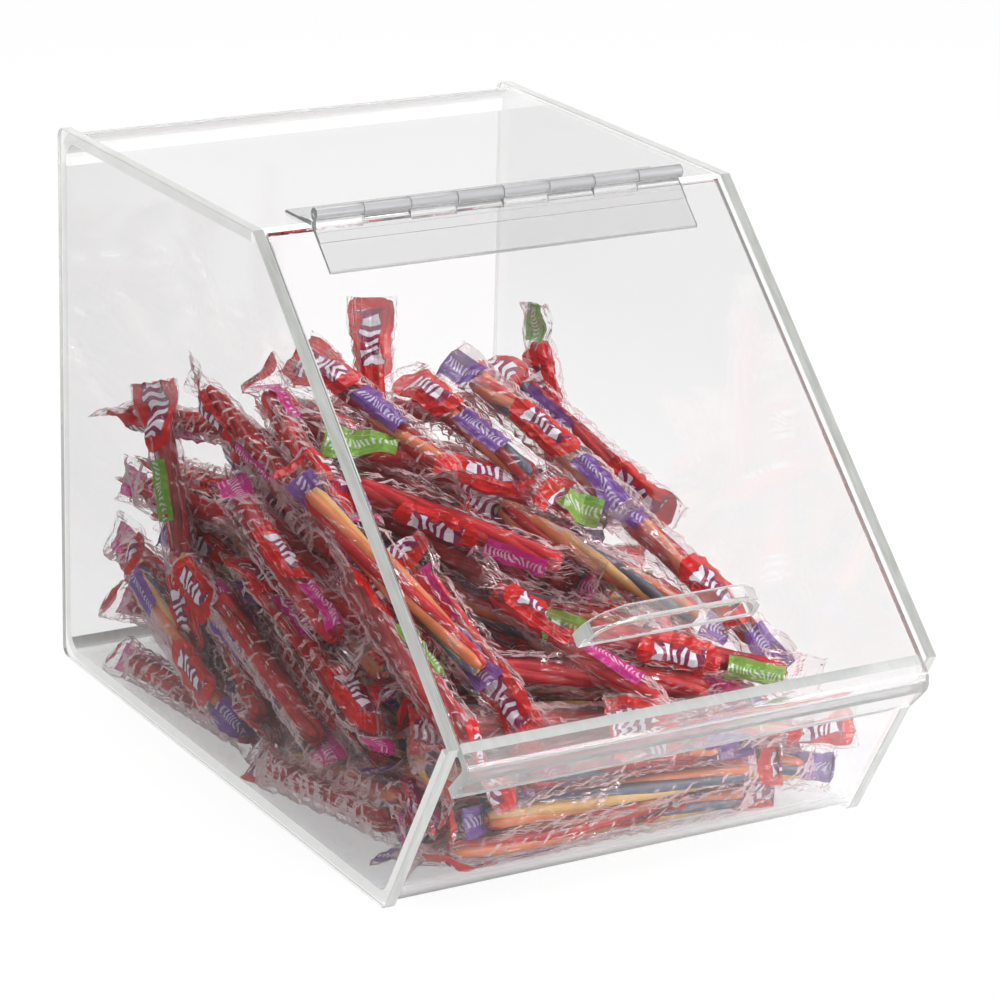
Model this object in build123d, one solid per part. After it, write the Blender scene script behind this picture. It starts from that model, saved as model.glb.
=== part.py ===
from build123d import *
import math
import os

# A countertop candy bin of clear acrylic sheet. Two side panels stand on the table, and one
# bent sheet between them is the front wall, base, back and top. A bent lid hangs from a
# plastic piano hinge on the top and rests on the front wall.
#
# Lengths are in millimetres. "Depth" runs forward from the back edges of the side panels,
# "height" runs up from the table, and X is 0 in the middle of the width. +Y is the back of
# the bin. The origin is under the middle of the whole bin's box.

# ---- Acrylic sheet ----
sheet = 5.8  # thickness of every sheet
edge_break = 0.4  # chamfer of a polished edge
bond_gap = 0.05  # cement line between two bonded pieces

# ---- Side panels ----
overall_width = 265.0  # over both panels
panel_height = 290.0
top_depth = 225.0  # where the top ends and the slope starts
apex_depth = 421.0  # foremost corner, where the slope ends
apex_height = 100.5
base_depth = 364.0
panel_corner_radius = 6.0  # at the base and at the top of the back

# ---- Body wrap: front wall, base, back and top in one bent sheet ----
wrap_inset = 1.0  # outer face inside the panels' edges
wrap_bend_radius = 9.5  # inside of each bend
top_setback = 5.7  # front edge of the top, behind the panels' corner

# ---- Lid ----
lid_inset = 1.0  # outer face inside the panels' sloping edges
lid_side_gap = 1.5  # to each side panel
lid_rest_gap = 0.2  # above the corner of the front wall that it comes down on
lid_start = 1.4  # upper end, down the slope from the panels' corner
lip_height = 25.0  # from the lid's outer face to the end of the lip
lip_gap = 1.6  # from the front wall to the lip's inner face, at the nearest place
lid_bend_radius = 2.5  # inside of the bend

# ---- Handle: a loop that stands on the lid ----
handle_length = 96.0
handle_height = 25.0
handle_width = 7.3
handle_bar = 3.8  # thickness of the loop, base and arch alike
handle_corner_radius = 23.0  # outside of the arch's two corners
handle_foot_radius = 1.5  # inside corners at the base
handle_shift = -2.6  # middle of the handle, sideways
handle_setback = 54.3  # middle of the handle, up the slope from the lip's outer face

# ---- Hinge ----
knuckle_count = 8
knuckle_pitch = 25.4
knuckle_gap = 0.4
barrel_radius = 3.3
barrel_clearance = 0.3  # between a barrel and the other leaf
leaf_root_thickness = 2.4
leaf_root_reach = 8.2  # reaches are measured from the pin, along the leaf
leaf_middle_thickness = 2.1
leaf_middle_reach = 13.5
leaf_tip_thickness = 1.5
leaf_reach = 29.6
leaf_bevel = 0.8  # of the tip's outer edge
leaf_parting = 0.4  # from each leaf's root to the plane midway between the leaves
web_reach = 7.0  # fairing from the barrel onto the leaf
web_bite = 0.6  # depth of the fairing in the leaf
web_top_angle = 10.0  # where the fairing leaves the barrel, below the leaf's direction
web_bottom_angle = 58.0
pin_radius = 1.2
pin_running_clearance = 0.05  # in the lid leaf's knuckles
pin_interference = 0.02  # in the top leaf's knuckles
pin_recess = 0.5  # inside each end of the barrel

# ---- Heap of candy ----
fill_clearance = 1.5  # to the walls and the lid
crest_height = 190.0
# Each sloping side of the heap is a plane through three points: (X, depth, height).
front_slope = [(-75.0, 215.0, 194.0), (75.0, 215.0, 194.0), (0.0, 350.0, 97.0)]
back_slope = [(-75.0, 12.0, 125.0), (75.0, 12.0, 125.0), (0.0, 120.0, 190.0)]
right_back_slope = [(25.0, 60.0, 143.0), (25.0, 150.0, 178.0), (124.0, 60.0, 58.0)]
right_front_slope = [(25.0, 200.0, 184.0), (25.0, 330.0, 138.0), (124.0, 200.0, 94.0)]

# ---- Two twists that stand up out of the heap ----
twist_width = 18.0
twist_thickness = 14.0
fin_length = 17.0  # where the wrapper flattens towards its tip
fin_width = 25.0
fin_thickness = 1.2
left_twist_foot = (-46.0, 200.0, 110.0)  # X, depth, height
left_twist_tip = (-50.0, 187.0, 236.0)
right_twist_foot = (78.0, 177.0, 74.0)
right_twist_tip = (63.0, 153.0, 210.0)
twist_facing = Vector(0.86, -0.5, 0)  # along the width of both

# ---- Values that follow ----
inner_width = overall_width - 2 * sheet
slope_run = apex_depth - top_depth
slope_drop = panel_height - apex_height
front_run = apex_depth - base_depth
slope_length = math.hypot(slope_run, slope_drop)
slope_forward = slope_run / slope_length
slope_down = slope_drop / slope_length
lid_bend_outer = lid_bend_radius + sheet
lid_under = lid_inset + sheet
# The front wall leans forward of the lip's direction by this angle.
lean = math.pi / 2 - math.atan2(slope_run, slope_drop) - math.atan2(front_run, apex_height)
wall_at_corner = slope_length - wrap_inset / math.cos(lean)
wall_at_lid = wall_at_corner + lid_under * math.tan(lean)
wall_at_lip_end = wall_at_corner + (lid_inset + lip_height) * math.tan(lean)
lid_end = max(wall_at_lid, wall_at_lip_end) + lip_gap + sheet
# The lid's bend is the foremost point of the bin.
bend_centre_along = lid_end - lid_bend_outer
bend_centre_below = lid_inset + lid_bend_outer
overall_depth = (
    top_depth
    + bend_centre_along * slope_forward
    - bend_centre_below * slope_down
    + lid_bend_outer
)
axis_rise = leaf_root_thickness + barrel_clearance + barrel_radius
hinge_length = knuckle_count * knuckle_pitch


def at(depth, height):
    """Y and Z of a point that is given by its depth and height."""
    return (overall_depth / 2 - depth, height)


def on_slope(along, rise):
    """Y and Z of a point down the slope from the panels' corner, and above the slope's plane."""
    depth = top_depth + along * slope_forward + rise * slope_down
    height = panel_height - along * slope_down + rise * slope_forward
    return at(depth, height)


down_slope = Vector(0, -slope_forward, -slope_down)
off_slope = Vector(0, -slope_down, slope_forward)

# The side panels' outline, one edge after another.
base_front = at(base_depth, 0)
apex = at(apex_depth, apex_height)
top_front = at(top_depth, panel_height)
top_back = at(0, panel_height)
base_back = at(0, 0)
outline_edges = {
    "front": (base_front, apex),
    "slope": (apex, top_front),
    "top": (top_front, top_back),
    "back": (top_back, base_back),
    "base": (base_back, base_front),
}


def inward(edge):
    """Unit vector that points into the outline from one of its edges."""
    (y0, z0), (y1, z1) = outline_edges[edge]
    length = math.hypot(y1 - y0, z1 - z0)
    return ((z1 - z0) / length, (y0 - y1) / length)


def corner(edge_a, inset_a, edge_b, inset_b):
    """Point where two of the outline's edges cross, each moved inward by its inset."""
    ay, az = inward(edge_a)
    by, bz = inward(edge_b)
    ya, za = outline_edges[edge_a][0]
    yb, zb = outline_edges[edge_b][0]
    reach_a = ay * ya + az * za + inset_a
    reach_b = by * yb + bz * zb + inset_b
    cross = ay * bz - az * by
    return ((reach_a * bz - az * reach_b) / cross, (ay * reach_b - reach_a * by) / cross)


def moved_in(point, edge, distance):
    """A point moved inward, square to one of the outline's edges."""
    dy, dz = inward(edge)
    return (point[0] + dy * distance, point[1] + dz * distance)


# The pin lies at the same height over the top and over the lid.
pin_place = corner("top", wrap_inset - axis_rise, "slope", lid_inset - axis_rise)


def across(section, width, middle=0.0):
    """Extrude a section in the YZ plane, with half of the width on each side of middle."""
    solid = extrude(Plane.YZ * section, amount=width / 2, both=True)
    return Pos(middle, 0, 0) * solid


def bent_sheet(outer_path, inner_path, inner_radius):
    """Section of a bent sheet from the corners of its two faces."""
    outer = FilletPolyline(*outer_path, radius=inner_radius + sheet)
    inner = FilletPolyline(*inner_path, radius=inner_radius)
    first_end = Line(outer_path[0], inner_path[0])
    last_end = Line(outer_path[-1], inner_path[-1])
    return make_face([outer, first_end, inner, last_end])


def nearest_vertex(section, place):
    """The vertex of a section that is nearest to a place."""
    return min(section.vertices(), key=lambda v: math.dist((v.X, v.Y), place))


def make_side_panel(side):
    """A flat panel. side is -1 for the left one and 1 for the right one."""
    outline = make_face(Polyline(base_front, apex, top_front, top_back, base_back, close=True))
    rounded = [nearest_vertex(outline, place) for place in (base_front, base_back, top_back)]
    outline = fillet(rounded, panel_corner_radius)
    panel = across(outline, sheet, side * (overall_width - sheet) / 2)
    rims = panel.edges() - panel.edges().filter_by(Axis.X)
    return chamfer(rims, edge_break)


def make_body_wrap():
    """Front wall, base, back and top, bent from one sheet and cemented between the panels."""
    outer = wrap_inset
    inner = wrap_inset + sheet
    wall_top = corner("front", outer, "slope", lid_under + lid_rest_gap)
    top_edge = at(top_depth - top_setback, panel_height - outer)
    outer_path = [
        wall_top,
        corner("front", outer, "base", outer),
        corner("base", outer, "back", outer),
        corner("back", outer, "top", outer),
        top_edge,
    ]
    inner_path = [
        moved_in(wall_top, "front", sheet),
        corner("front", inner, "base", inner),
        corner("base", inner, "back", inner),
        corner("back", inner, "top", inner),
        moved_in(top_edge, "top", sheet),
    ]
    section = bent_sheet(outer_path, inner_path, wrap_bend_radius)
    return across(section, inner_width - 2 * bond_gap)


def make_lid():
    """A flat sheet down the slope, with its front end bent down into a lip."""
    outer_path = [
        on_slope(lid_start, -lid_inset),
        on_slope(lid_end, -lid_inset),
        on_slope(lid_end, -lid_inset - lip_height),
    ]
    inner_path = [
        on_slope(lid_start, -lid_under),
        on_slope(lid_end - sheet, -lid_under),
        on_slope(lid_end - sheet, -lid_inset - lip_height),
    ]
    section = bent_sheet(outer_path, inner_path, lid_bend_radius)
    lid = across(section, inner_width - 2 * lid_side_gap)
    return chamfer(lid.edges().filter_by(GeomType.LINE), edge_break)


def arch(half_length, high, corner_radius):
    """Section of a block on the lid, seen along the slope, with its upper corners rounded."""
    low = high - handle_height
    corners = [(-half_length, low), (half_length, low), (half_length, high), (-half_length, high)]
    shape = make_face(Polyline(*corners, close=True))
    return fillet(shape.vertices().group_by(Axis.Y)[-1], corner_radius)


def make_handle():
    """A closed loop with a flat base, cemented across the lid."""
    half = handle_length / 2
    outside = arch(half, handle_height, handle_corner_radius)
    inside = arch(
        half - handle_bar, handle_height - handle_bar, handle_corner_radius - handle_bar
    )
    base_middle = handle_bar - handle_height / 2
    inside -= Pos(0, base_middle) * Rectangle(handle_length, handle_height)
    inside = fillet(inside.vertices().group_by(Axis.Y)[0], handle_foot_radius)
    foot_y, foot_z = on_slope(lid_end - handle_setback, bond_gap - lid_inset)
    stand = Plane(origin=(handle_shift, foot_y, foot_z), x_dir=(1, 0, 0), z_dir=down_slope)
    loop = extrude(stand * (outside - inside), amount=handle_width / 2, both=True)
    return chamfer(loop.edges(), edge_break)


def knuckle_middles(first):
    """X of every second knuckle, from the first or the second one on the left."""
    left = -hinge_length / 2 + knuckle_pitch / 2
    return [left + i * knuckle_pitch for i in range(first, knuckle_count, 2)]


def make_hinge_leaf(along, outward, first_knuckle, bore_radius):
    """One leaf: a stepped plate, with fairings that carry its barrel's knuckles."""
    frame = Plane(origin=(0, *pin_place), x_dir=along, z_dir=along.cross(outward))
    seat = -axis_rise
    half_angle = math.atan2(slope_down, slope_forward) / 2
    parting = leaf_parting / math.cos(half_angle)
    root_top = seat + leaf_root_thickness
    root_start = -root_top * math.tan(half_angle) + parting
    plate = Polyline(
        (-seat * math.tan(half_angle) + parting, seat + bond_gap),
        (root_start, root_top),
        (leaf_root_reach, root_top),
        (leaf_root_reach, seat + leaf_middle_thickness),
        (leaf_middle_reach, seat + leaf_middle_thickness),
        (leaf_middle_reach, seat + leaf_tip_thickness),
        (leaf_reach - leaf_bevel, seat + leaf_tip_thickness),
        (leaf_reach, seat + leaf_tip_thickness - leaf_bevel),
        (leaf_reach, seat + bond_gap),
        close=True,
    )
    leaf = extrude(frame * make_face(plate), amount=hinge_length / 2, both=True)

    top_angle = math.radians(web_top_angle)
    bottom_angle = math.radians(web_bottom_angle)
    web = Polyline(
        (barrel_radius * math.cos(top_angle), -barrel_radius * math.sin(top_angle)),
        (0, 0),
        (barrel_radius * math.cos(bottom_angle), -barrel_radius * math.sin(bottom_angle)),
        (root_start + barrel_clearance + web_bite, root_top - web_bite),
        (web_reach, root_top - web_bite),
        (web_reach, root_top),
        close=True,
    )
    section = frame * (make_face(web) + Circle(barrel_radius))
    knuckle = extrude(section, amount=(knuckle_pitch - knuckle_gap) / 2, both=True)
    bore = extrude(frame * Circle(bore_radius), amount=hinge_length, both=True)
    for middle in knuckle_middles(first_knuckle):
        leaf += Pos(middle, 0, 0) * knuckle
    return leaf - bore


def make_hinge_pin():
    """The rod through all the knuckles."""
    pin = Cylinder(pin_radius, hinge_length - 2 * pin_recess, rotation=(0, 90, 0))
    return Pos(0, *pin_place) * pin


def cut_above(solid, points):
    """Keep what lies below the plane through three points."""
    places = [Vector(x, *at(depth, height)) for x, depth, height in points]
    normal = (places[1] - places[0]).cross(places[2] - places[0])
    if normal.Z < 0:
        normal = normal * -1
    return split(solid, bisect_by=Plane(origin=places[0], z_dir=normal), keep=Keep.BOTTOM)


def make_candy_fill():
    """The heap of candy: it fills the bin up to a level crest and four sloping sides."""
    gap = wrap_inset + sheet + fill_clearance
    lid_gap = lid_under + fill_clearance
    room = make_face(
        Polyline(
            corner("front", gap, "base", gap),
            corner("front", gap, "slope", lid_gap),
            corner("slope", lid_gap, "top", gap),
            corner("top", gap, "back", gap),
            corner("back", gap, "base", gap),
            close=True,
        )
    )
    low = room.vertices().group_by(Axis.Y)[0]
    room = fillet(low, wrap_bend_radius - fill_clearance)
    heap = across(room, inner_width - 2 * fill_clearance)
    level = [(-1.0, 0.0, crest_height), (1.0, 0.0, crest_height), (0.0, 1.0, crest_height)]
    for side in (level, front_slope, back_slope, right_back_slope, right_front_slope):
        heap = cut_above(heap, side)
    return heap


def make_standing_twist(foot, tip, heap):
    """A wrapped twist that stands in the heap, with a flat fin at its upper end."""
    base = Vector(foot[0], *at(*foot[1:]))
    axis = Vector(tip[0], *at(*tip[1:])) - base
    across_axis = axis.cross(twist_facing)
    stand = Plane(origin=base, x_dir=across_axis.cross(axis), z_dir=axis)
    fin_start = stand.offset(axis.length - fin_length)
    body = extrude(stand * Rectangle(twist_width, twist_thickness), axis.length - fin_length)
    fin = loft(
        [
            fin_start * Rectangle(twist_width, twist_thickness),
            stand.offset(axis.length) * Rectangle(fin_width, fin_thickness),
        ]
    )
    return body + fin - heap


candy_fill = make_candy_fill()

parts = {
    "side_panel_left": make_side_panel(-1),
    "side_panel_right": make_side_panel(1),
    "body_wrap": make_body_wrap(),
    "lid": make_lid(),
    "handle": make_handle(),
    "hinge_leaf_top": make_hinge_leaf(
        Vector(0, 1, 0), Vector(0, 0, 1), 1, pin_radius - pin_interference
    ),
    "hinge_leaf_lid": make_hinge_leaf(
        down_slope, off_slope, 0, pin_radius + pin_running_clearance
    ),
    "hinge_pin": make_hinge_pin(),
    "candy_fill": candy_fill,
    "standing_twist_left": make_standing_twist(left_twist_foot, left_twist_tip, candy_fill),
    "standing_twist_right": make_standing_twist(right_twist_foot, right_twist_tip, candy_fill),
}

os.makedirs("parts", exist_ok=True)
for name, solid in parts.items():
    export_step(solid, f"parts/{name}.step")
print("overall depth", round(overall_depth, 3), "pin at", pin_place)
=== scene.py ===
import math

import bpy
import numpy as np
from mathutils import Matrix, Vector


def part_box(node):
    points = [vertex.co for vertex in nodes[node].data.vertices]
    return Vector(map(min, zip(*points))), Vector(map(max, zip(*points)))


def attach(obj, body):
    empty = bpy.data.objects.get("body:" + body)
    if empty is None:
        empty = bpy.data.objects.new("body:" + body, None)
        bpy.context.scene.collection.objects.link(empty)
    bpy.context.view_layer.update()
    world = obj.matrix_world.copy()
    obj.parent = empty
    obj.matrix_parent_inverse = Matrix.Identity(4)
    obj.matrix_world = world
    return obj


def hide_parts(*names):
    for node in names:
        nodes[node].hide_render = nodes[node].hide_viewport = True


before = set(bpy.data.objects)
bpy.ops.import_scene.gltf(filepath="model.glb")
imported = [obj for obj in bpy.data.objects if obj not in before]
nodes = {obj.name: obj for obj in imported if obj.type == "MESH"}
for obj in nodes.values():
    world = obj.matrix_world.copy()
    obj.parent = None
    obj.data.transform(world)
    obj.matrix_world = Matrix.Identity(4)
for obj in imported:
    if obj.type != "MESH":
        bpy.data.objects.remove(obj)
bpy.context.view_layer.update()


# ---------------------------------------------------------------- node graphs

class Graph:
    """Builds the node tree of a material or a world."""

    def __init__(self, owner, output="OutputMaterial"):
        owner.use_nodes = True
        self.owner = owner
        self.tree = owner.node_tree
        self.tree.nodes.clear()
        self.output = self.add(output)

    def add(self, kind, inputs=None, **settings):
        """A node whose inputs are given as values or as other nodes' sockets."""
        node = self.tree.nodes.new("ShaderNode" + kind)
        for key, value in settings.items():
            setattr(node, key, value)
        for key, value in (inputs or {}).items():
            self.feed(node.inputs[key], value)
        return node

    def feed(self, socket, value):
        if isinstance(value, bpy.types.NodeSocket):
            self.tree.links.new(value, socket)
        else:
            socket.default_value = value

    def shader(self, kind, inputs):
        return self.add(kind, inputs).outputs[0]

    def math(self, operation, *values, clamp=False):
        inputs = dict(enumerate(values))
        return self.add("Math", inputs, operation=operation, use_clamp=clamp).outputs[0]

    def product(self, first, *others):
        for other in others:
            first = self.math("MULTIPLY", first, other)
        return first

    def largest(self, first, *others):
        for other in others:
            first = self.math("MAXIMUM", first, other)
        return first

    def xyz(self, vector):
        return self.add("SeparateXYZ", {0: vector}).outputs

    def dot(self, vector, direction):
        inputs = {0: vector, 1: direction}
        return self.add("VectorMath", inputs, operation="DOT_PRODUCT").outputs["Value"]

    def noise(self, vector, scale, detail=2.0, roughness=0.5):
        inputs = {"Vector": vector, "Scale": scale, "Detail": detail, "Roughness": roughness}
        return self.add("TexNoise", inputs).outputs["Fac"]

    def remap(self, value, low, high, to_low, to_high, smooth=False):
        kind = "SMOOTHSTEP" if smooth else "LINEAR"
        inputs = {0: value, 1: low, 2: high, 3: to_low, 4: to_high}
        return self.add("MapRange", inputs, interpolation_type=kind).outputs[0]

    def blend(self, factor, first, second):
        """A colour between two; 6 and 7 are a Mix node's sockets for colours."""
        inputs = {0: factor, 6: first, 7: second}
        return self.add("Mix", inputs, data_type="RGBA").outputs[2]

    def bump(self, height, strength, distance):
        inputs = {"Height": height, "Strength": strength, "Distance": distance}
        return self.add("Bump", inputs).outputs[0]

    def stretched(self, vector, scale):
        return self.add("Mapping", {"Vector": vector, "Scale": scale}).outputs[0]

    def finish(self, surface, volume=None):
        self.feed(self.output.inputs["Surface"], surface)
        if volume is not None:
            self.feed(self.output.inputs["Volume"], volume)
        return self.owner


def new_material(name):
    return Graph(bpy.data.materials.new(name))


def put_on(obj, material):
    """Give an object one material."""
    obj.data.materials.clear()
    obj.data.materials.append(material)


# ---------------------------------------------------------------- acrylic and hinge plastic

OFF_SLOPE = (0.0, -0.695, 0.719)  # the way the lid's upper face looks
INTO_SLOPE = (0.0, 0.695, -0.719)
UP_SLOPE = (0.0, 0.719, 0.695)
DOWN_SLOPE = (0.0, -0.719, -0.695)
TO_RIGHT, TO_FRONT, TO_BACK = (1.0, 0.0, 0.0), (0.0, -1.0, 0.0), (0.0, 1.0, 0.0)

# Heights and places, in metres, that tell one part of a bent sheet from another
TOP_SHEET_HEIGHT = 0.27
LID_UPPER_END_HEIGHT = 0.2
LIP_EDGE_HEIGHT = 0.088
LID_BEND = (0.074, 0.079)  # down the slope from the frame's origin
PIN_Y, PIN_Z = -0.01389, 0.295
BARREL_RADII = (0.0036, 0.0044)  # where a barrel ends and a leaf begins

# The darkest and the palest tone of a cut edge
PALE_EDGE = ((0.40, 0.41, 0.39, 1), (0.56, 0.57, 0.55, 1))
WHITE_EDGE = ((0.48, 0.49, 0.48, 1), (0.62, 0.62, 0.61, 1))
SAWN_EDGE = ((0.44, 0.45, 0.44, 1), (0.62, 0.62, 0.61, 1))
GREY_EDGE = ((0.32, 0.32, 0.33, 1), (0.46, 0.46, 0.47, 1))
EDGE_GLOW = (1.0, 1.0, 0.99, 1)
THROUGH_SHEET = (0.96, 0.97, 0.965, 1.0)
IN_THICK_SHEET = (0.70, 0.78, 0.73, 1.0)

ACRYLIC = {"ior": 1.49, "density": 2.0}
HINGE_PLASTIC = {"ior": 1.50, "density": 3.0}


def faces_along(g, normal, direction):
    """1 where the surface faces a direction, else 0."""
    return g.math("GREATER_THAN", g.dot(normal, direction), 0.95)


def sideways_faces(g, normal):
    """1 where the surface faces the bin's left or right, else 0."""
    return g.math("GREATER_THAN", g.math("ABSOLUTE", g.xyz(normal)[0]), 0.9)


def panel_edges(g, normal, place):
    """A flat upright panel is cut all round."""
    return g.math("SUBTRACT", 1.0, sideways_faces(g, normal))


def wrap_edges(g, normal, place):
    """The bent wrap is cut at its sides, on the front wall's end and on the top's front end."""
    in_top = g.math("GREATER_THAN", g.xyz(place)[2], TOP_SHEET_HEIGHT)
    top_end = g.product(faces_along(g, normal, TO_FRONT), in_top)
    return g.largest(sideways_faces(g, normal), faces_along(g, normal, OFF_SLOPE), top_end)


def lid_edges(g, normal, place):
    """The lid is cut at its sides, at its upper end and under its lip."""
    height = g.xyz(place)[2]
    upper = g.product(faces_along(g, normal, UP_SLOPE),
                      g.math("GREATER_THAN", height, LID_UPPER_END_HEIGHT))
    under = g.product(faces_along(g, normal, INTO_SLOPE),
                      g.math("LESS_THAN", height, LIP_EDGE_HEIGHT))
    return g.largest(sideways_faces(g, normal), upper, under)


def hinge_edges(g, normal, place):
    """The leaves' ends, and the small steps where a leaf gets thinner."""
    steps = g.largest(faces_along(g, normal, DOWN_SLOPE), faces_along(g, normal, TO_BACK))
    return g.largest(sideways_faces(g, normal), steps)


def handle_edges(g, normal, place):
    """The handle's outline was sawn, so its two flat faces and its ends look frosted in part."""
    sawn = g.largest(faces_along(g, normal, UP_SLOPE), faces_along(g, normal, DOWN_SLOPE))
    frosted = g.remap(g.noise(place, 60.0, 2.0), 0.35, 0.65, 0.4, 0.8)
    return g.largest(g.product(sawn, frosted), sideways_faces(g, normal))


def wrap_painted_paleness(g, place):
    """Painted light: milky white bands at the base's front bend and the top's back bend are
    painted highlights, and the base is made milky so it looks paler.
    """
    _, depth, height = g.xyz(place)
    # painted highlights: milky white bands at the two bends
    front = g.product(g.remap(depth, -0.140, -0.134, 0.45, 0.0),
                      g.remap(height, 0.010, 0.016, 1.0, 0.0))
    back = g.product(g.remap(depth, 0.197, 0.203, 0.0, 0.45),
                     g.remap(height, 0.272, 0.278, 0.0, 1.0))
    # painted light: the base is made milky white so it looks paler
    painted_pale_base = g.remap(height, 0.0070, 0.0085, 0.22, 0.0)
    return g.largest(front, back, painted_pale_base)


def lid_painted_highlight(g, place):
    """Painted highlight: the lid's bend and lip are made a little milky white."""
    return g.remap(g.dot(place, DOWN_SLOPE), *LID_BEND, 0.0, 0.10)


def handle_cloud(g, place):
    """The handle is dull all over, more in some places."""
    return g.remap(g.noise(place, 40.0, 2.0), 0.35, 0.65, 0.03, 0.10)


def hinge_cloud(g, place):
    """The barrels are cloudier than the thin leaves."""
    _, depth, height = g.xyz(place)
    across = g.math("SUBTRACT", depth, PIN_Y)
    rise = g.math("SUBTRACT", height, PIN_Z)
    squares = g.math("ADD", g.product(across, across), g.product(rise, rise))
    return g.remap(g.math("SQRT", squares), *BARREL_RADII, 0.5, 0.16)


def clear_plastic(name, tint, ior, density, cut_edges, edge_tones=PALE_EDGE, edge_glow=0.1,
                  milky=None, cloud_tone=0.87):
    """Clear sheet with polished faces and softly finished cut edges, which look pale grey.

    cut_edges is a function that marks the cut edges from the graph, the surface's normal
    and its place. milky is one that gives how milky white the plastic is at a place: cloudiness
    on the handle and hinge, painted highlights and painted paleness on the wrap and lid.
    edge_glow stands for the light that runs through the sheet and leaves it at the cut edges;
    those that face off the slope or to the right are lit by the lamps and have none.
    """
    g = new_material(name)
    place = g.add("TexCoord").outputs["Object"]
    normal = g.add("NewGeometry").outputs["Normal"]

    face = g.shader("BsdfPrincipled", {
        "Base Color": tint, "IOR": ior, "Transmission Weight": 1.0,
        "Roughness": g.remap(g.noise(place, 34.0, 3.0), 0.35, 0.75, 0.0, 0.02),
        "Normal": g.bump(g.noise(place, 9.0, 1.0), 0.05, 0.002)})
    # milky white plastic: cloudiness on the handle and hinge, painted highlights and painted
    # paleness on the wrap and lid
    if milky is not None:
        cloud = g.shader("BsdfPrincipled", {
            "Base Color": (cloud_tone, cloud_tone, cloud_tone + 0.01, 1),
            "Roughness": 0.22, "IOR": ior})
        face = g.shader("MixShader", {0: milky(g, place), 1: face, 2: cloud})

    scraped = g.noise(g.stretched(place, (8.0, 1.0, 1.0)), 45.0, 4.0, 0.6)
    lit = g.largest(faces_along(g, normal, OFF_SLOPE), faces_along(g, normal, TO_RIGHT))
    edge = g.shader("BsdfPrincipled", {
        "Base Color": g.blend(g.remap(scraped, 0.3, 0.7, 0.0, 1.0), *edge_tones),
        "Roughness": 0.32, "IOR": ior, "Transmission Weight": 0.3,
        "Emission Color": EDGE_GLOW,
        "Emission Strength": g.remap(lit, 0.0, 1.0, edge_glow, 0.0)})
    sheet = g.shader("MixShader", {0: cut_edges(g, normal, place), 1: face, 2: edge})

    # lamps and diffuse light reach the candy straight through the sheet
    rays = g.add("LightPath").outputs
    skip = g.largest(rays["Is Shadow Ray"], rays["Is Diffuse Ray"])
    let_in = g.shader("BsdfTransparent", {"Color": THROUGH_SHEET})
    surface = g.shader("MixShader", {0: skip, 1: sheet, 2: let_in})
    absorb = g.shader("VolumeAbsorption", {"Color": IN_THICK_SHEET, "Density": density})
    return g.finish(surface, absorb)


acrylic_upright = clear_plastic("acrylic_upright", (0.976, 0.974, 0.975, 1), **ACRYLIC,
                                cut_edges=panel_edges, edge_glow=0.25)
acrylic_wrap = clear_plastic("acrylic_wrap", (0.972, 0.965, 0.968, 1), **ACRYLIC,
                             cut_edges=wrap_edges, edge_tones=WHITE_EDGE, edge_glow=0.62,
                             milky=wrap_painted_paleness)
acrylic_lid = clear_plastic("acrylic_lid", (0.968, 0.959, 0.961, 1), **ACRYLIC,
                            cut_edges=lid_edges, milky=lid_painted_highlight)
acrylic_handle = clear_plastic("acrylic_handle", (0.96, 0.96, 0.96, 1), **ACRYLIC,
                               cut_edges=handle_edges, edge_tones=SAWN_EDGE,
                               milky=handle_cloud)
hinge_plastic = clear_plastic("hinge_plastic", (0.95, 0.95, 0.955, 1), **HINGE_PLASTIC,
                              cut_edges=hinge_edges, edge_tones=GREY_EDGE, edge_glow=0.0,
                              milky=hinge_cloud, cloud_tone=0.43)

for node, material in (("side_panel_left", acrylic_upright),
                       ("side_panel_right", acrylic_upright),
                       ("body_wrap", acrylic_wrap),
                       ("lid", acrylic_lid),
                       ("handle", acrylic_handle),
                       ("hinge_leaf_top", hinge_plastic),
                       ("hinge_leaf_lid", hinge_plastic),
                       ("hinge_pin", hinge_plastic)):
    put_on(nodes[node], material)


# ---------------------------------------------------------------- candy materials

ROPE_COLORS = {  # the usual colour of a strand, and that of its denser parts
    "red": ((0.46, 0.008, 0.012, 1), (0.24, 0.004, 0.008, 1)),
    "orange": ((0.76, 0.24, 0.10, 1), (0.56, 0.14, 0.05, 1)),
    "yellow": ((0.78, 0.46, 0.17, 1), (0.62, 0.33, 0.10, 1)),
    "blue": ((0.14, 0.15, 0.20, 1), (0.08, 0.09, 0.13, 1)),
    "cherry": ((0.62, 0.015, 0.020, 1), (0.40, 0.008, 0.014, 1)),
}
ROPE_ORDER = list(ROPE_COLORS)

# The print's layout: lengths are shares of one repeat along the wrapper, widths are shares
# of a turn around it
PRINT_REPEAT = 0.105  # metres
RED_MIDDLE, RED_HALF_LENGTH, RED_HALF_WIDTH = 0.23, 0.21, 0.19
BAND_START, BAND_END, BAND_HALF_WIDTH = 0.47, 0.77, 0.105
SLASHES_PER_REPEAT, SLASH_RIM = 20.0, 0.014
DASHES_PER_REPEAT, DASH_HALF_WIDTH = 42.0, 0.030

# painted light: the clear film's pink stands in for the candy's red light scattered in it
FILM_PINK_PAINTED_BOUNCE = (0.86, 0.62, 0.64, 1)
PRINT_RED = (0.60, 0.012, 0.012, 1)
PRINT_RIM = (0.12, 0.02, 0.10, 1)
PRINT_WHITE = (0.80, 0.76, 0.84, 1)
# white of the film's painted highlights
GLINT_WHITE = (0.90, 0.84, 0.86, 1)
THROUGH_FILM = (0.99, 0.985, 0.99, 1.0)


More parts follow.
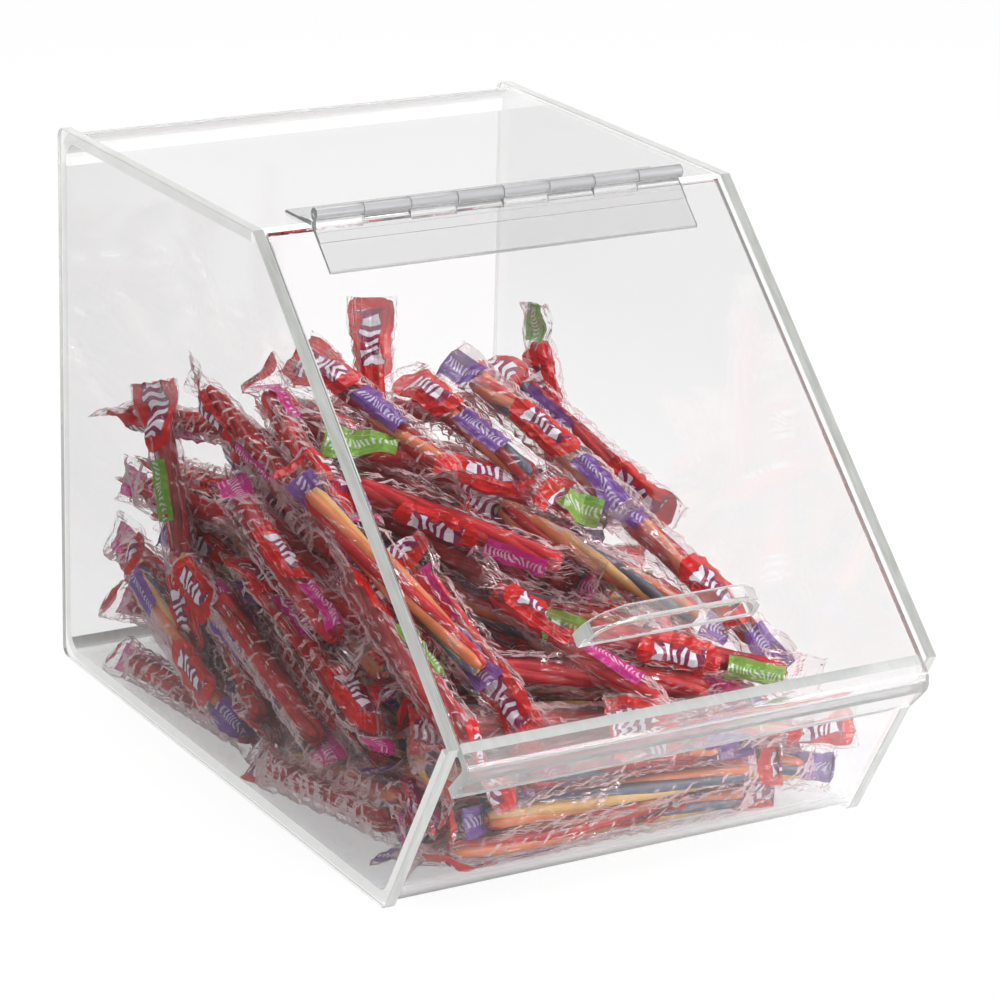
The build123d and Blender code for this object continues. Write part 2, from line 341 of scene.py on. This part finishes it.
def rope_material(name, color, dark):
    """Glossy extruded candy, darker where it is denser."""
    g = new_material(name)
    place = g.add("TexCoord").outputs["Object"]
    shade = g.remap(g.noise(place, 60.0, 3.0), 0.3, 0.7, 0.0, 1.0)
    return g.finish(g.shader("BsdfPrincipled", {
        "Base Color": g.blend(shade, dark, color),
        "Roughness": g.remap(g.noise(place, 150.0, 2.0), 0.3, 0.7, 0.28, 0.5),
        "IOR": 1.46,
        "Normal": g.bump(g.noise(place, 420.0, 3.0), 0.25, 0.0006)}))


def film_print(g, uv, band_tint):
    """The print's colour, and 1 where there is any: a red lens and a band of another colour."""
    split = g.xyz(uv)
    along = g.math("FRACT", split[0])
    around = g.math("SUBTRACT", split[1], 0.5)
    off_axis = g.math("ABSOLUTE", around)

    from_middle = g.math("DIVIDE", g.math("SUBTRACT", along, RED_MIDDLE), RED_HALF_LENGTH)
    wobble = g.product(g.math("SINE", g.product(along, 38.0)), 0.012)
    lens = g.math("SUBTRACT", 1.0, g.math("POWER", g.math("ABSOLUTE", from_middle), 6.0))
    lens_width = g.math("ADD", g.product(lens, RED_HALF_WIDTH), wobble)
    red = g.math("LESS_THAN", off_axis, lens_width)
    band = g.product(g.math("GREATER_THAN", along, BAND_START),
                     g.math("LESS_THAN", along, BAND_END),
                     g.math("LESS_THAN", off_axis, BAND_HALF_WIDTH))

    # leaning white slashes of uneven length on the red lens, thin pale dashes on the band
    leaning = g.math("ADD", along, g.product(around, 0.14))
    leaning = g.math("ADD", leaning, g.product(g.noise(uv, 9.0, 0.0), 0.10))
    reach = g.remap(g.noise(uv, 13.0, 0.0), 0.35, 0.65, 0.045, 0.10)
    drawn = g.product(red, g.math("LESS_THAN", g.math("ABSOLUTE", from_middle), 0.6))
    beat = g.math("FRACT", g.product(leaning, SLASHES_PER_REPEAT))
    slash = g.product(g.math("LESS_THAN", off_axis, reach), g.math("LESS_THAN", beat, 0.5),
                      drawn)
    rim = g.product(g.math("LESS_THAN", off_axis, g.math("ADD", reach, SLASH_RIM)), drawn)
    tick = g.math("FRACT", g.product(leaning, DASHES_PER_REPEAT))
    dash = g.product(g.math("LESS_THAN", off_axis, DASH_HALF_WIDTH),
                     g.math("LESS_THAN", tick, 0.45), band)

    color = g.blend(band, FILM_PINK_PAINTED_BOUNCE, band_tint)
    color = g.blend(red, color, PRINT_RED)
    color = g.blend(g.product(rim, 0.75), color, PRINT_RIM)
    color = g.blend(g.largest(slash, g.product(dash, 0.6)), color, PRINT_WHITE)
    return color, g.largest(red, band)


def film_material():
    """Clear crinkled film with a printed front.

    The UV map runs in print repeats along the wrapper and once around it. The colour of the
    band and the film's cloudiness come from the wrapper's own colour attribute.
    """
    g = new_material("wrapper_film")
    uv = g.add("UVMap", uv_map="print").outputs[0]
    place = g.add("TexCoord").outputs["Object"]
    per_candy = g.add("Attribute", attribute_name="band_tint").outputs
    color, printed = film_print(g, uv, per_candy["Color"])

    # long taut creases that follow the wrapper, and short ones that cross it
    lengthways = g.noise(g.stretched(uv, (2.6, 15.0, 1.0)), 1.0, 2.0, 0.55)
    crossing = g.noise(place, 105.0, 2.0, 0.6)
    long_crease = g.math("ABSOLUTE", g.math("SUBTRACT", lengthways, 0.5))
    short_crease = g.math("ABSOLUTE", g.math("SUBTRACT", crossing, 0.5))
    folds = g.bump(g.math("ADD", long_crease, g.product(short_crease, 0.5)), 0.5, 0.004)
    patch = g.remap(g.noise(place, 55.0, 1.0), 0.48, 0.62, 0.0, 1.0, smooth=True)
    # painted highlights: white streaks along the creases, in patches, stand in for the lamps'
    # glints
    painted_glint = g.largest(g.remap(long_crease, 0.0, 0.020, 0.85, 0.0, smooth=True),
                       g.remap(short_crease, 0.0, 0.012, 0.55, 0.0, smooth=True))
    painted_glint = g.product(painted_glint, patch)
    cloud = g.product(per_candy["Alpha"],
                      g.remap(g.noise(place, 38.0, 2.0), 0.35, 0.6, 0.35, 1.0))

    shine = g.add("Fresnel", {"IOR": 1.13, "Normal": folds}).outputs[0]
    clear_alpha = g.math("ADD", shine, g.largest(painted_glint, cloud), clamp=True)
    alpha = g.largest(clear_alpha, g.product(printed, 0.88))
    film = g.shader("BsdfPrincipled", {
        "Base Color": g.blend(g.product(painted_glint, 0.55), color, GLINT_WHITE),
        "Metallic": g.remap(printed, 0.0, 1.0, 0.45, 0.0),
        "Roughness": 0.16, "IOR": 1.5, "Normal": folds})
    bare = g.shader("BsdfTransparent", {"Color": THROUGH_FILM})
    return g.finish(g.shader("MixShader", {0: alpha, 1: bare, 2: film}))


rope_materials = [rope_material("candy_" + k, *ROPE_COLORS[k]) for k in ROPE_ORDER]
wrapper_film = film_material()


# ---------------------------------------------------------------- where the candy can lie

rng = np.random.default_rng(11)
kicks = np.random.default_rng(7)

# Sizes in metres
PACK_RADIUS = 0.0068  # settled candies lie twice this apart, centre to centre
CANDY_LENGTHS = (0.112, 0.130)
FIN = 0.017  # a wrapper's flattened end, at each end of the candy
BOW = 0.0025
STATIONS = 19  # points on a candy's centre line
BOTH_WAYS = np.array((-1.0, 1.0))
SIDE_STRIP, FRONT_STRIP = 0.030, 0.075  # where candies lie along the side panels, the front

WALL_ROOM = 0.0011  # a mesh may reach this far past the heap's solid, short of the walls
INSIDE_WALLS = 0.0064  # a settled candy's ends stay this far inside the solid's sides and base
INSIDE_TOP = (-0.002, 0.010)  # and this far, from one candy to the next, inside its top

LOOSE_COUNT = 125  # candies besides the placed ones
SETTLE_STEPS = 600
SINK = 0.00005  # how far the candies come down in each step
# a candy that stays stuck in another by more than STUCK is moved aside now and then
STUCK, KICK, KICK_EVERY, LAST_KICK = 0.0055, 0.010, 25, 500

# Candies that lie in plain view: kind, one end, other end, where the print starts. The first
# two stand up out of the heap.
PLACED = [
    ("red", (-0.0460, 0.0131, 0.110), (-0.0500, 0.0261, 0.236), 0.20),
    ("green", (0.0780, 0.0361, 0.074), (0.0630, 0.0601, 0.210), 0.32),
    ("cherry", (-0.1165, 0.030, 0.113), (-0.1165, -0.125, 0.068), 0.02),
    ("cherry", (-0.1130, 0.042, 0.150), (-0.1120, -0.092, 0.100), 0.60),
    ("dark", (-0.1120, 0.190, 0.141), (-0.0850, 0.050, 0.166), 0.95),
    ("green", (-0.1165, 0.124, 0.176), (-0.1150, 0.072, 0.040), 0.10),
    ("dark", (-0.1080, 0.100, 0.188), (-0.0960, -0.030, 0.150), 0.90),
    ("cherry", (-0.0880, 0.062, 0.196), (-0.0930, -0.055, 0.154), 0.35),
    ("rainbow", (-0.1165, 0.152, 0.078), (-0.1165, 0.020, 0.022), 0.30),
    ("rainbow", (-0.1130, 0.120, 0.098), (-0.1130, -0.010, 0.058), 0.70),
    ("cherry", (-0.0800, -0.062, 0.142), (-0.0530, -0.166, 0.062), 0.30),
    ("cherry", (-0.1040, -0.026, 0.170), (0.0100, -0.098, 0.122), 0.65),
    ("red", (-0.0900, -0.006, 0.180), (0.0300, -0.072, 0.142), 0.45),
    ("red", (-0.1080, -0.056, 0.146), (-0.0880, -0.170, 0.066), 0.95),
    ("punch", (-0.0760, 0.050, 0.206), (-0.0420, -0.062, 0.162), 0.05),
    ("punch", (-0.0260, 0.040, 0.192), (0.0020, -0.072, 0.156), 0.98),
    ("rainbow", (0.0050, 0.045, 0.192), (0.0400, -0.078, 0.140), 0.55),
    ("punch", (0.0300, 0.048, 0.188), (0.0760, -0.060, 0.126), 0.20),
    ("punch", (0.0320, -0.056, 0.150), (0.0900, -0.140, 0.076), 0.50),
    ("red", (-0.0300, -0.116, 0.112), (0.1050, -0.148, 0.070), 0.60),
    ("cherry", (-0.0550, -0.078, 0.132), (0.0220, -0.170, 0.068), 0.80),
    ("punch", (-0.0200, -0.158, 0.076), (0.1180, -0.162, 0.056), 0.10),
    ("rainbow", (-0.1000, -0.152, 0.0385), (0.0820, -0.151, 0.0365), 0.40),
    ("rainbow", (-0.0710, -0.139, 0.0165), (0.0885, -0.139, 0.0165), 0.80),
    ("punch", (-0.0850, -0.160, 0.057), (0.0600, -0.158, 0.055), 0.30),
    ("rainbow", (0.0000, -0.120, 0.034), (0.1220, -0.140, 0.0225), 0.50),
]
# how far some of them are turned, in radians, from showing their print to the front
PLACED_TURNS = {0: 0.0, 1: 0.45, 22: 3.0, 23: 2.6, 24: 3.4, 25: 2.8}


def face_planes(obj):
    """The planes of a convex solid, as unit normals and distances."""
    found = {}
    for polygon in obj.data.polygons:
        plane = (*polygon.normal, polygon.normal.dot(polygon.center))
        found[tuple(round(v, 3) for v in plane)] = plane
    planes = np.array(list(found.values()))
    return planes[:, :3], planes[:, 3]


normals, offsets = face_planes(nodes["candy_fill"])
is_top = normals[:, 2] > 0.1
fill_low, fill_high = (Vector(c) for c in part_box("candy_fill"))


def pile_top(x, y):
    """Height of the heap's surface over the floor plan."""
    n = normals[is_top]
    heights = (offsets[is_top] - np.multiply.outer(x, n[:, 0]) - np.multiply.outer(y, n[:, 1]))
    return (heights / n[:, 2]).min(axis=-1)


def pressed_to_walls(points):
    """Points moved back to the bin's walls and base where they reach past them."""
    for normal, offset in zip(normals[~is_top], offsets[~is_top]):
        past = np.clip(points @ normal - offset - WALL_ROOM, 0, None)
        points = points - past[..., None] * normal
    return points


def candy_yaw(x, y):
    """The way a candy points at a place, in radians, as they lie in a scooped-over heap."""
    from_side, from_front = min(x - fill_low.x, fill_high.x - x), y - fill_low.y
    if from_side < SIDE_STRIP and rng.uniform() < 0.75:
        return rng.normal(-1.57, 0.06)  # along the side panel
    if from_front < FRONT_STRIP:
        return rng.normal(0.0, 0.13)  # along the front wall
    if x < -0.015:
        return rng.normal(-1.38, 0.34)  # down the heap's left half
    return rng.normal(-0.85, 0.6)  # across its right half


def scattered_candy():
    """Both ends of a candy at a random place in the heap, along the heap's surface."""
    low, high = np.array(fill_low), np.array(fill_high)
    while True:
        middle = rng.uniform(low, high)
        if (normals @ middle < offsets - PACK_RADIUS).all():
            break
    yaw = candy_yaw(middle[0], middle[1])
    half = rng.uniform(*CANDY_LENGTHS) / 2 + FIN
    step = half * np.array((math.cos(yaw), math.sin(yaw)))
    ends_x, ends_y = middle[0] + step[0] * BOTH_WAYS, middle[1] + step[1] * BOTH_WAYS
    top = pile_top(middle[0], middle[1])
    rise = pile_top(ends_x, ends_y) - top
    deep = np.clip((top - middle[2]) / 0.08, 0, 1)
    tilt = (1 - deep) * (rise[1] - rise[0]) / 2 + rng.normal(0, 0.008)
    run = np.array((*step, tilt))
    run *= half / np.linalg.norm(run)
    return middle - run, middle + run


def nearest_shares(start_a, run_a, start_b, run_b):
    """Where pairs of straight candies come nearest, as shares of their lengths."""
    gap = start_a - start_b
    aa, bb = (run_a * run_a).sum(-1), (run_b * run_b).sum(-1)
    ab, ag, bg = (run_a * run_b).sum(-1), (run_a * gap).sum(-1), (run_b * gap).sum(-1)
    share_a = np.clip((ab * bg - ag * bb) / np.maximum(aa * bb - ab * ab, 1e-12), 0, 1)
    share_b = np.clip((ab * share_a + bg) / bb, 0, 1)
    share_a = np.clip((ab * share_b - ag) / aa, 0, 1)
    return share_a[:, None], share_b[:, None]


def settle(first, last, is_fixed):
    """Move straight candies apart and down until they lie on each other in the heap."""
    length = np.linalg.norm(last - first, axis=1, keepdims=True)
    movable = np.where(is_fixed, 0.0, 1.0)[:, None]
    room = np.where(is_top[None, :], rng.uniform(*INSIDE_TOP, (len(first), 1)), INSIDE_WALLS)
    i, j = np.triu_indices(len(first), 1)
    keep = ~(is_fixed[i] & is_fixed[j])
    i, j = i[keep], j[keep]
    share = np.where(is_fixed[i] | is_fixed[j], 1.0, 0.5)[:, None]
    for step in range(SETTLE_STEPS):
        # apart, and down
        run = last - first
        near_i, near_j = nearest_shares(first[i], run[i], first[j], run[j])
        apart = (first[i] + run[i] * near_i) - (first[j] + run[j] * near_j)
        distance = np.maximum(np.linalg.norm(apart, axis=1, keepdims=True), 1e-6)
        overlap = np.clip(2 * PACK_RADIUS - distance, 0, None)
        push = overlap * apart / distance
        shift_first, shift_last = np.zeros_like(first), np.zeros_like(last)
        touching = np.zeros((len(first), 1))
        for index, near, sign in ((i, near_i, 1), (j, near_j, -1)):
            np.add.at(shift_first, index, sign * push * share * (1 - near))
            np.add.at(shift_last, index, sign * push * share * near)
            np.add.at(touching, index, (push != 0).any(1, keepdims=True) * 1.0)
        ease = 1.6 / np.maximum(touching, 1.6)
        first = first + movable * (shift_first * ease - (0, 0, SINK))
        last = last + movable * (shift_last * ease - (0, 0, SINK))
        # back to their own length
        middle, run = (first + last) / 2, last - first
        run *= length / np.linalg.norm(run, axis=1, keepdims=True)
        first, last = (middle - movable * run / 2 - (1 - movable) * (middle - first),
                       middle + movable * run / 2 - (1 - movable) * (middle - last))
        # back inside the heap
        for k, (normal, offset) in enumerate(zip(normals, offsets)):
            for ends in (first, last):
                past = np.clip(ends @ normal - offset + room[:, k], 0, None)[:, None]
                ends -= movable * past * normal
        if step % KICK_EVERY == 0 and step < LAST_KICK:
            worst = np.zeros((len(first), 1))
            np.maximum.at(worst, i, overlap)
            np.maximum.at(worst, j, overlap)
            kick = kicks.normal(0, KICK, first.shape) * (movable * (worst > STUCK))
            first, last = first + kick, last + kick
    return first, last


def straight_line(first, last):
    """A candy's centre line between its two ends, with a slight bow."""
    share = np.linspace(0, 1, STATIONS)[:, None]
    first, last = np.array(first), np.array(last)
    bow = rng.normal(0, BOW, 3) * 4 * share * (1 - share)
    return first + (last - first) * share + bow


def fill_bin():
    """Centre lines of the loose candies, settled around the placed ones."""
    placed = np.array([(a, b) for _, a, b, _ in PLACED])
    loose = np.array([scattered_candy() for _ in range(LOOSE_COUNT)])
    ends = np.concatenate([placed, loose])
    is_fixed = np.arange(len(ends)) < len(placed)
    first, last = settle(ends[:, 0], ends[:, 1], is_fixed)
    return [straight_line(a, b) for a, b in zip(first[~is_fixed], last[~is_fixed])]


# ---------------------------------------------------------------- candy meshes

ROPE_RADIUS = 0.0062
STRAND_RADIUS = ROPE_RADIUS * 0.52
STRAND_ORBIT = ROPE_RADIUS - STRAND_RADIUS
ROPE_TRIM = FIN * 1.15  # how far short of the wrapper's ends the candy stops
ROPE_STATIONS, STRAND_SIDES = 24, 7

FILM_STATIONS, FILM_SIDES = 44, 18
FIN_HALF_WIDTH, FIN_HALF_HEIGHT = 0.0125, 0.0003
NARROWING, SWELLING = 0.0027, 0.0075  # from a flat fin to the open sleeve
FLAT_END, OPENING = FIN * 0.62, FIN * 0.9
SLEEVE_RADIUS = 0.0085
CRINKLE, FLUTTER, TOOTH = 0.0011, 0.0016, 0.0009

LABEL_SIDE = np.array((-0.48, -0.82, 0.33))  # the way the placed candies show their print
MAGENTA = (0.60, 0.025, 0.25)
PURPLE = (0.18, 0.07, 0.32)
GREEN = (0.19, 0.38, 0.05)
KINDS = {  # the strands of a candy, and its print's band
    "rainbow": (["cherry", "orange", "yellow", "blue", "orange"], PURPLE),
    "punch": (["red", "red", "orange", "red", "blue"], PURPLE),
    "dark": (["red"] * 5, MAGENTA),
    "cherry": (["cherry", "red", "cherry", "red", "cherry"], MAGENTA),
    "red": (["red", "cherry", "red", "red", "cherry"], GREEN),
    "green": (["cherry", "red", "cherry", "red", "red"], GREEN),
}
LOW_SHARES = (0.65, 0.05, 0.12, 0.12, 0.04, 0.02)  # how often each kind comes
HIGH_SHARES = (0.10, 0.17, 0.28, 0.27, 0.10, 0.08)
LOW_HEIGHT, NEAR_FRONT = 0.05, 0.09


def pick_kind(line):
    """Rainbow twists lie mostly low and in front."""
    _, depth, height = line.mean(axis=0)
    is_low = height < LOW_HEIGHT or depth < fill_low.y + NEAR_FRONT
    return list(KINDS)[rng.choice(len(KINDS), p=LOW_SHARES if is_low else HIGH_SHARES)]


def frames_along(line):
    """Tangents and two steady cross directions along a line of points."""
    tangent = np.gradient(line, axis=0)
    tangent /= np.linalg.norm(tangent, axis=1, keepdims=True)
    side = np.cross(tangent, (0.0, 0.0, 1.0))
    flat = np.linalg.norm(side, axis=1, keepdims=True)
    side = np.where(flat > 0.2, side / np.maximum(flat, 1e-6), (1.0, 0.0, 0.0))
    side -= tangent * (side * tangent).sum(1, keepdims=True)
    side /= np.linalg.norm(side, axis=1, keepdims=True)
    up = np.cross(side, tangent)
    return tangent, side, up


def resample(line, trim, count):
    """Points at even steps along a line, from trim after its start to trim before its end."""
    step = np.linalg.norm(np.diff(line, axis=0), axis=1)
    run = np.concatenate([[0], np.cumsum(step)])
    where = np.linspace(trim, run[-1] - trim, count)
    return np.stack([np.interp(where, run, line[:, k]) for k in range(3)], 1)


class Soup:
    """Collects the faces of many candies into one mesh."""

    def __init__(self):
        self.points, self.faces, self.slots, self.uvs, self.tints = [], [], [], [], []
        self.count = 0

    def add_tube(self, rings, slot, uv=None, tint=None):
        """Add a closed tube from an array of stations, ring points and coordinates.

        uv holds the print's place at each station, and tint the tube's colour attribute.
        """
        stations, around, _ = rings.shape
        base = self.count
        self.points.append(rings.reshape(-1, 3))
        self.count += stations * around
        for i in range(stations - 1):
            for j in range(around):
                k = (j + 1) % around
                a, b = base + i * around, base + (i + 1) * around
                self.faces.append((a + j, a + k, b + k, b + j))
                self.slots.append(slot)
                if uv is not None:
                    lo, hi = j / around, (j + 1) / around
                    self.uvs += [(uv[i], lo), (uv[i], hi), (uv[i + 1], hi), (uv[i + 1], lo)]
                    self.tints += [tint] * 4
        for i, order in ((0, -1), (stations - 1, 1)):
            ring = [base + i * around + j for j in range(around)]
            self.faces.append(tuple(ring[::order]))
            self.slots.append(slot)
            if uv is not None:
                self.uvs += [(uv[i], j / around) for j in range(around)]
                self.tints += [tint] * around

    def build(self, name, materials, smooth):
        mesh = bpy.data.meshes.new(name)
        mesh.from_pydata(np.concatenate(self.points).tolist(), [], self.faces)
        for material in materials:
            mesh.materials.append(material)
        mesh.polygons.foreach_set("material_index", self.slots)
        mesh.polygons.foreach_set("use_smooth", [smooth] * len(mesh.polygons))
        if self.uvs:
            layer = mesh.uv_layers.new(name="print")
            layer.data.foreach_set("uv", np.array(self.uvs, np.float32).ravel())
            colors = mesh.color_attributes.new("band_tint", "FLOAT_COLOR", "CORNER")
            colors.data.foreach_set("color", np.array(self.tints, np.float32).ravel())
        mesh.validate()
        mesh.update()
        obj = bpy.data.objects.new(name, mesh)
        bpy.context.scene.collection.objects.link(obj)
        return obj


def add_rope(soup, line, colors):
    """Twisted strands around a centre line."""
    middle = resample(line, ROPE_TRIM, ROPE_STATIONS)
    _, side, up = frames_along(middle)
    turns = rng.uniform(0.35, 0.9) * rng.choice([-1, 1])
    start = rng.uniform(0, 6.28)
    share = np.linspace(0, 1, ROPE_STATIONS)
    radius = STRAND_RADIUS * np.minimum(1, 0.55 + np.minimum(share, 1 - share) * 12)
    angle = np.linspace(0, 2 * math.pi, STRAND_SIDES, endpoint=False)
    ring = (np.cos(angle)[None, :, None] * side[:, None, :]
            + np.sin(angle)[None, :, None] * up[:, None, :])
    for k, color in enumerate(colors):
        phase = start + 2 * math.pi * (k / len(colors) + turns * share)
        offset = np.cos(phase)[:, None] * side + np.sin(phase)[:, None] * up
        center = middle + STRAND_ORBIT * offset
        rings = pressed_to_walls(center[:, None, :] + radius[:, None, None] * ring)
        soup.add_tube(rings, ROPE_ORDER.index(color))


def film_roll(side, up, print_start, turn):
    """How far a wrapper is rolled around its candy, in radians.

    A placed one shows its print to the front, more or less, or is turned from there by turn.
    A loose one mostly has its print turned away.
    """
    facing = math.atan2(-(side @ LABEL_SIDE), up @ LABEL_SIDE)
    if turn is not None:
        return facing + turn
    if print_start is not None:
        return facing + rng.normal(0, 0.8)
    return facing + rng.normal(math.pi, 1.5)


def add_film(soup, line, tint, print_start, turn):
    """A crinkled flow wrap: a loose sleeve that flattens into a toothed fin at each end.

    print_start is None for a loose candy, whose print starts anywhere. turn is None where
    the wrapper's roll and its fins' twist are left to chance.
    """
    middle = resample(line, 0.0, FILM_STATIONS)
    tangent, side, up = frames_along(middle)
    run = np.linspace(0, 1, FILM_STATIONS)
    length = np.linalg.norm(np.diff(middle, axis=0), axis=1).sum()
    from_end = np.minimum(run, 1 - run) * length
    open_share = np.clip((from_end - FLAT_END) / OPENING, 0, 1)
    open_share = open_share * open_share * (3 - 2 * open_share)
    half_width = FIN_HALF_WIDTH - NARROWING * open_share
    half_height = FIN_HALF_HEIGHT + SWELLING * open_share

    halfway = FILM_STATIONS // 2
    roll = film_roll(side[halfway], up[halfway], print_start, turn)
    fin_turns = rng.normal(0, 0.7, 2) if turn is None else (0, 0)
    lean = roll + np.interp(run, [0, 0.2, 0.8, 1], [fin_turns[0], 0, 0, fin_turns[1]])
    wide = np.cos(lean)[:, None] * side + np.sin(lean)[:, None] * up
    high = np.cos(lean)[:, None] * up - np.sin(lean)[:, None] * side

    angle = np.linspace(0, 2 * math.pi, FILM_SIDES, endpoint=False) - math.pi / 2
    crinkle = 0.6 * rng.normal(0, 1, (FILM_STATIONS, FILM_SIDES))
    for folds in (3, 5, 8):
        drift = rng.uniform(0, 6.28) + rng.normal(0, 2.5) * run[:, None]
        crinkle = crinkle + 0.55 * np.sin(folds * angle[None, :] + drift)
    crinkle = crinkle * CRINKLE * (0.25 + 0.75 * open_share[:, None])
    scale = 1 + crinkle / SLEEVE_RADIUS
    w = half_width[:, None] * np.cos(angle)[None, :]
    h = half_height[:, None] * np.sin(angle)[None, :]
    rings = (middle[:, None, :] + (w * scale)[..., None] * wide[:, None, :]
             + (h * scale)[..., None] * high[:, None, :])
    flutter = (1 - open_share)[:, None] * FLUTTER * np.sin(
        angle[None, :] * 2 + run[:, None] * 40 + rng.uniform(0, 6))
    rings += flutter[..., None] * high[:, None, :]
    teeth = np.where(np.arange(FILM_SIDES) % 2 == 0, TOOTH, -TOOTH)
    rings[0] -= teeth[:, None] * tangent[0]
    rings[-1] += teeth[:, None] * tangent[-1]

    shift = rng.uniform(0, 1) if print_start is None else print_start
    uv = shift + run * length / PRINT_REPEAT
    cloud = rng.uniform(0.06, 0.22) if rng.uniform() < 0.25 else rng.uniform(0.0, 0.02)
    soup.add_tube(pressed_to_walls(rings), 0, uv, (*tint, cloud))


candies = [(straight_line(a, b), kind, start) for kind, a, b, start in PLACED]
candies += [(line, pick_kind(line), None) for line in fill_bin()]

ropes, films = Soup(), Soup()
for number, (line, kind, print_start) in enumerate(candies):
    strands, tint = KINDS[kind]
    add_rope(ropes, line, strands)
    add_film(films, line, tint, print_start, PLACED_TURNS.get(number))

candy_ropes = ropes.build("candy_twists", rope_materials, True)
candy_films = films.build("candy_wrappers", [wrapper_film], False)
for piece, slot in ((candy_ropes, "candy"), (candy_films, "wrapper_film")):
    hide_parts("candy_fill", "standing_twist_left", "standing_twist_right")
    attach(piece, "bin")


# ---------------------------------------------------------------- floor, light and camera

FLOOR_HALF_SIZE = 6.0
WHITE = (1, 1, 1, 1)
WORLD_LIGHT = 0.42  # what the studio's air gives the object
FLOOR_DIRECT, FLOOR_THROUGH_SHEET = 1.06, 1.2
CAMERA_TURN = (-30.25, 19.0, 1.53)  # azimuth, elevation and roll in degrees
CAMERA_PLACE = (-0.9414, -1.6346, 0.7835)
CAMERA_LENS, CAMERA_SENSOR = 144.36, 36.0  # millimetres

LAMPS = {  # place, what it points at, size, watts
    "key_right": ((1.6, -1.3, 0.85), (0, 0, 0.12), (1.0, 1.0), 30.0),
    "fill_left": ((-1.3, -0.9, 1.3), (0, 0, 0.12), (0.9, 0.9), 2.0),
    "front_low": ((0.4, -1.7, 0.3), (0, -0.15, 0.05), (0.8, 0.5), 7.5),
    "top": ((0.1, 0.2, 2.0), (0, 0, 0.1), (1.4, 1.0), 27.0),
}


def seen_rays(g, rays):
    """1 for what the camera sees, also through or in the sheets, 0 for light on the object."""
    return g.largest(rays["Is Camera Ray"], rays["Is Glossy Ray"], rays["Is Transmission Ray"])


def mirrored_rays(g, rays):
    """1 for what is seen after a reflection."""
    return g.math("GREATER_THAN", rays["Glossy Depth"], 0.5)


def make_floor():
    """A sheet of pale paper that looks evenly white, and darker on the left in reflections."""
    mesh = bpy.data.meshes.new("floor")
    corners = [(x * FLOOR_HALF_SIZE, y * FLOOR_HALF_SIZE, 0)
               for x, y in ((-1, -1), (1, -1), (1, 1), (-1, 1))]
    mesh.from_pydata(corners, [], [(0, 1, 2, 3)])
    floor = bpy.data.objects.new("floor", mesh)
    bpy.context.scene.collection.objects.link(floor)
    g = new_material("floor_white")
    place = g.add("TexCoord").outputs["Object"]
    rays = g.add("LightPath").outputs
    mirrored = mirrored_rays(g, rays)
    reflected = g.remap(g.xyz(place)[0], -0.25, 0.15, 0.05, 0.95)
    direct = g.remap(rays["Is Transmission Ray"], 0.0, 1.0, FLOOR_DIRECT, FLOOR_THROUGH_SHEET)
    strength = g.remap(mirrored, 0.0, 1.0, direct, reflected)
    glow = g.shader("Emission", {"Color": WHITE, "Strength": strength})
    paper = g.blend(g.noise(place, 3.0), (0.80, 0.80, 0.80, 1), (0.82, 0.82, 0.82, 1))
    lit = g.shader("BsdfDiffuse", {"Color": paper})
    share = g.product(seen_rays(g, rays), g.remap(mirrored, 0.0, 1.0, 0.85, 1.0))
    put_on(floor, g.finish(g.shader("MixShader", {0: share, 1: lit, 2: glow})))


def make_world():
    """A white studio that in reflections is dark on the left and overhead."""
    world = bpy.data.worlds.new("studio")
    bpy.context.scene.world = world
    g = Graph(world, "OutputWorld")
    rays = g.add("LightPath").outputs
    across, _, height = g.xyz(g.add("NewGeometry").outputs["Normal"])
    reflected = g.product(g.remap(height, -0.35, -0.75, 1.0, 0.2),
                          g.remap(across, -0.4, 0.3, 0.75, 0.3))
    shown = g.remap(mirrored_rays(g, rays), 0.0, 1.0, 1.0, reflected)
    strength = g.remap(seen_rays(g, rays), 0.0, 1.0, WORLD_LIGHT, shown)
    g.finish(g.shader("Background", {"Color": WHITE, "Strength": strength}))


def make_lamp(name, place, aim, size, power):
    data = bpy.data.lights.new(name, "AREA")
    data.shape = "RECTANGLE"
    data.size, data.size_y = size
    data.energy = power
    lamp = bpy.data.objects.new(name, data)
    lamp.location = place
    lamp.rotation_euler = (Vector(aim) - Vector(place)).to_track_quat("-Z", "Y").to_euler()
    bpy.context.scene.collection.objects.link(lamp)


def make_camera():
    azimuth, elevation, roll = (math.radians(v) for v in CAMERA_TURN)
    back = Vector((math.sin(azimuth) * math.cos(elevation),
                   -math.cos(azimuth) * math.cos(elevation), math.sin(elevation)))
    right = (-back).cross(Vector((0, 0, 1))).normalized()
    up = back.cross(right)
    rolled_right = math.cos(roll) * right + math.sin(roll) * up
    rolled_up = math.cos(roll) * up - math.sin(roll) * right
    data = bpy.data.cameras.new("camera")
    data.sensor_width, data.lens = CAMERA_SENSOR, CAMERA_LENS
    data.clip_end = 30.0
    camera = bpy.data.objects.new("camera", data)
    turn = Matrix((rolled_right, rolled_up, back)).transposed().to_4x4()
    camera.matrix_world = Matrix.Translation(CAMERA_PLACE) @ turn
    bpy.context.scene.collection.objects.link(camera)
    bpy.context.scene.camera = camera


make_floor()
make_world()
for name, settings in LAMPS.items():
    make_lamp(name, *settings)
make_camera()
bpy.context.scene.view_settings.view_transform = "Standard"
